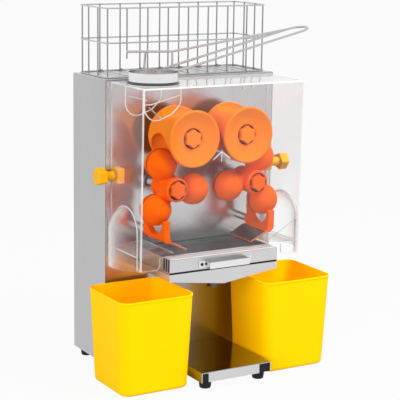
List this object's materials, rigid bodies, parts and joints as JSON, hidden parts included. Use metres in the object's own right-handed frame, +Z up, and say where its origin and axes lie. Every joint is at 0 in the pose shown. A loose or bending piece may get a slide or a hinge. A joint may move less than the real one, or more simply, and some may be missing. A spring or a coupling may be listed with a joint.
{
  "type": "electric orange juicer",
  "caption": "Standing electric citrus press: steel cabinet, clear cover over orange cup drums and ball rotors, wire feed ramp and basket, strainer drawer, peel bins and a jug shelf.",
  "frame": {"origin": "on the floor under the middle of the part's box", "axes": "+Z up, front with the clear cover towards -Y, +X to the machine's right as seen from the front"},
  "size_m": [0.522, 0.362, 0.785],
  "materials": {
    "steel": "fine brushed",
    "bright_steel": "polished",
    "wire": "electropolished wire",
    "aluminium": "milled",
    "orange_plastic": "moulded",
    "yellow_plastic": "moulded",
    "clear_plastic": "clear moulded",
    "black_rubber": "matt",
    "black_plastic": "fine grain",
    "grey_paint": "satin paint"
  },
  "bodies": {
    "machine": {"cabinet_shell": "steel", "front_panel": "steel", "rear_cover": "steel", "cabinet_floor": "steel", "base_plate": "steel", "rubber_feet": "black_rubber", "bearing_plates": "aluminium", "shaft_bearings": "bright_steel", "plate_spacers": "aluminium", "shaft_seals": "black_rubber", "gearbox": "grey_paint", "drive_motor": "grey_paint", "control_box": "grey_paint", "power_socket": "black_plastic", "switch_housing": "black_plastic", "knife_holder": "bright_steel", "knife_blade": "bright_steel", "juice_tank": "steel", "peel_ejector_left": "orange_plastic", "peel_ejector_right": "orange_plastic", "ejector_wedge_left": "bright_steel", "ejector_wedge_right": "bright_steel", "cover_catches": "yellow_plastic", "panel_screws": "bright_steel"},
    "upper_left": {"upper_shaft_left": "bright_steel", "cup_drum_left": "orange_plastic", "sync_gear_left": "aluminium", "upper_gear_left": "aluminium"},
    "upper_right": {"upper_shaft_right": "bright_steel", "cup_drum_right": "orange_plastic", "sync_gear_right": "aluminium", "upper_gear_right": "aluminium"},
    "lower_left": {"lower_shaft_left": "bright_steel", "ball_rotor_left": "orange_plastic", "lower_gear_left": "aluminium"},
    "lower_right": {"lower_shaft_right": "bright_steel", "ball_rotor_right": "orange_plastic", "lower_gear_right": "aluminium"},
    "pinion": {"motor_pinion": "bright_steel"},
    "drum_knob_left": {"drum_knob_left": "orange_plastic"},
    "drum_knob_right": {"drum_knob_right": "orange_plastic"},
    "rotor_knob_left": {"rotor_knob_left": "orange_plastic"},
    "rotor_knob_right": {"rotor_knob_right": "orange_plastic"},
    "cover": {"cover_front": "clear_plastic", "cover_roof": "clear_plastic", "cover_sides": "clear_plastic", "peel_hoods": "clear_plastic", "peel_chutes": "clear_plastic", "inlet_collar": "steel", "feed_ramp": "wire", "guide_cage": "wire"},
    "cover_knob_left": {"cover_knob_left": "yellow_plastic"},
    "cover_knob_right": {"cover_knob_right": "yellow_plastic"},
    "drawer": {"strainer_drawer": "steel", "drawer_front": "steel", "drawer_handle": "bright_steel"},
    "basket": {"wire_basket": "wire"},
    "bin_left": {"peel_bin_left": "yellow_plastic"},
    "bin_right": {"peel_bin_right": "yellow_plastic"},
    "rocker": {"switch_rocker": "black_plastic"}
  },
  "joints": [
    {"name": "upper_left_turn", "type": "hinge", "parent": "machine", "child": "upper_left", "pos_m": [-0.066, 0.025, 0.521], "axis": [0, -1, 0], "continuous": true},
    {"name": "upper_right_turn", "type": "hinge", "parent": "machine", "child": "upper_right", "pos_m": [0.066, 0.025, 0.521], "axis": [0, -1, 0], "continuous": true},
    {"name": "lower_left_turn", "type": "hinge", "parent": "machine", "child": "lower_left", "pos_m": [-0.099, 0.025, 0.41397], "axis": [0, -1, 0], "continuous": true},
    {"name": "lower_right_turn", "type": "hinge", "parent": "machine", "child": "lower_right", "pos_m": [0.099, 0.025, 0.41397], "axis": [0, -1, 0], "continuous": true},
    {"name": "pinion_turn", "type": "hinge", "parent": "machine", "child": "pinion", "pos_m": [-0.057, 0.025, 0.34123], "axis": [0, -1, 0], "continuous": true},
    {"name": "drum_knob_left_turn", "type": "hinge", "parent": "upper_left", "child": "drum_knob_left", "pos_m": [-0.066, -0.1, 0.521], "axis": [0, -1, 0], "range_deg": [0, 720]},
    {"name": "drum_knob_right_turn", "type": "hinge", "parent": "upper_right", "child": "drum_knob_right", "pos_m": [0.066, -0.1, 0.521], "axis": [0, -1, 0], "range_deg": [0, 720]},
    {"name": "rotor_knob_left_turn", "type": "hinge", "parent": "lower_left", "child": "rotor_knob_left", "pos_m": [-0.099, -0.1, 0.41397], "axis": [0, -1, 0], "range_deg": [0, 720]},
    {"name": "rotor_knob_right_turn", "type": "hinge", "parent": "lower_right", "child": "rotor_knob_right", "pos_m": [0.099, -0.1, 0.41397], "axis": [0, -1, 0], "range_deg": [0, 720]},
    {"name": "cover_draw", "type": "slide", "parent": "machine", "child": "cover", "axis": [0, -1, 0], "range_m": [0, 0.2]},
    {"name": "cover_knob_left_turn", "type": "hinge", "parent": "machine", "child": "cover_knob_left", "pos_m": [-0.2, 0.01, 0.436], "axis": [-1, 0, 0], "range_deg": [0, 720]},
    {"name": "cover_knob_right_turn", "type": "hinge", "parent": "machine", "child": "cover_knob_right", "pos_m": [0.2, 0.01, 0.436], "axis": [1, 0, 0], "range_deg": [0, 720]},
    {"name": "drawer_slide", "type": "slide", "parent": "machine", "child": "drawer", "axis": [0, -1, 0], "range_m": [0, 0.13]},
    {"name": "basket_lift", "type": "slide", "parent": "machine", "child": "basket", "axis": [0, 0, 1], "range_m": [0, 0.12]},
    {"name": "bin_left_slide", "type": "slide", "parent": "machine", "child": "bin_left", "axis": [0, -1, 0], "range_m": [0, 0.25]},
    {"name": "bin_right_slide", "type": "slide", "parent": "machine", "child": "bin_right", "axis": [0, -1, 0], "range_m": [0, 0.25]},
    {"name": "rocker_tip", "type": "hinge", "parent": "machine", "child": "rocker", "pos_m": [0.206, 0.087, 0.56], "axis": [0, 1, 0], "range_deg": [0, 20]}
  ],
  "couplings": [
    {"joint": "upper_right_turn", "follows": "upper_left_turn", "ratio": -1},
    {"joint": "lower_left_turn", "follows": "upper_left_turn", "ratio": -1},
    {"joint": "lower_right_turn", "follows": "upper_left_turn", "ratio": 1},
    {"joint": "pinion_turn", "follows": "upper_left_turn", "ratio": 2}
  ]
}
